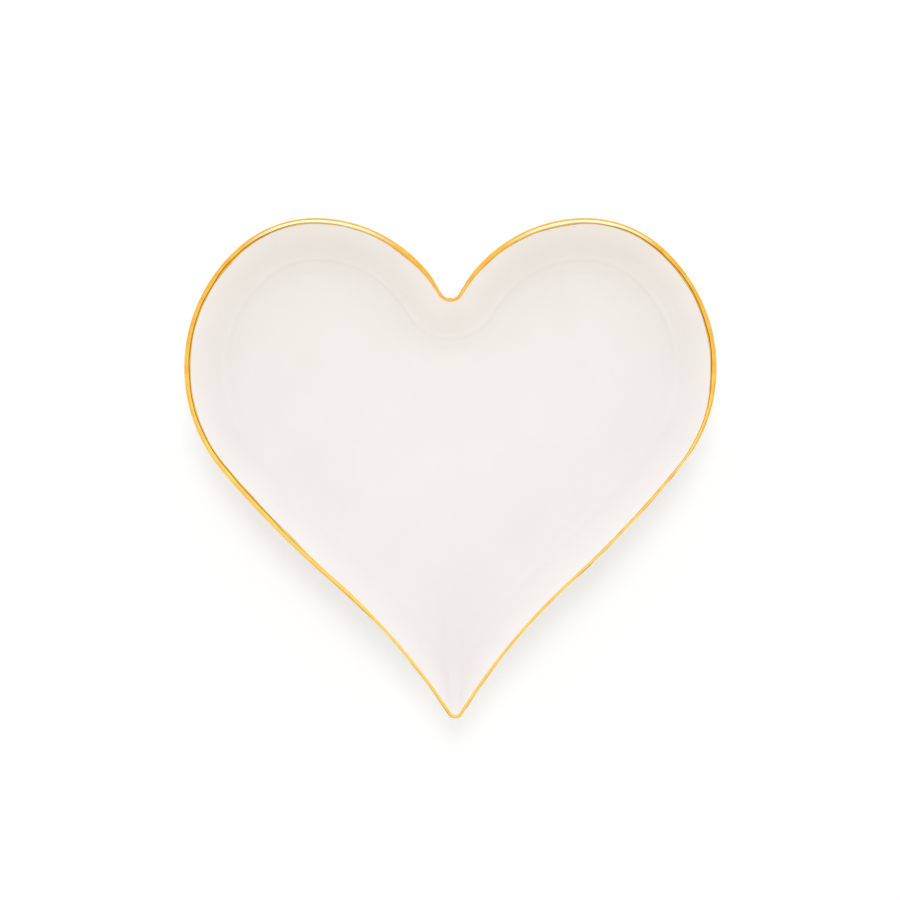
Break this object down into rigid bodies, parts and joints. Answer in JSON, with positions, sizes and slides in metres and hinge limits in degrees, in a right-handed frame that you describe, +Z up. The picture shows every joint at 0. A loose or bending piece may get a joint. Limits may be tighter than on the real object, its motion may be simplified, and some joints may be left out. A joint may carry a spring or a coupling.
{
  "type": "heart-shaped trinket dish",
  "caption": "Shallow open heart-shaped ceramic trinket dish with sloping walls that bend into a flat floor, a heart-shaped foot ring and a gilded lip.",
  "frame": {"origin": "on the table under the middle of the dish, at the bottom centre of its bounding box, in the plane of the foot ring's sole", "axes": "+Z up out of the open dish, +Y towards the cleft between the lobes, -Y towards the pointed tip, +X to the right across the lobes"},
  "size_m": [0.13, 0.1224, 0.019],
  "materials": {
    "white_clay": "bare white earthenware, sanded smooth, seen only on the sole of the foot",
    "glossy_white_glaze": "glossy clear glaze over white clay, very slightly warm",
    "gold_lustre": "bright fired gold lustre, brushed on by hand"
  },
  "bodies": {
    "root": {"clay_body": "white_clay", "glaze_coat": "glossy_white_glaze", "base_glaze": "glossy_white_glaze", "gold_rim": "gold_lustre"}
  },
  "joints": []
}
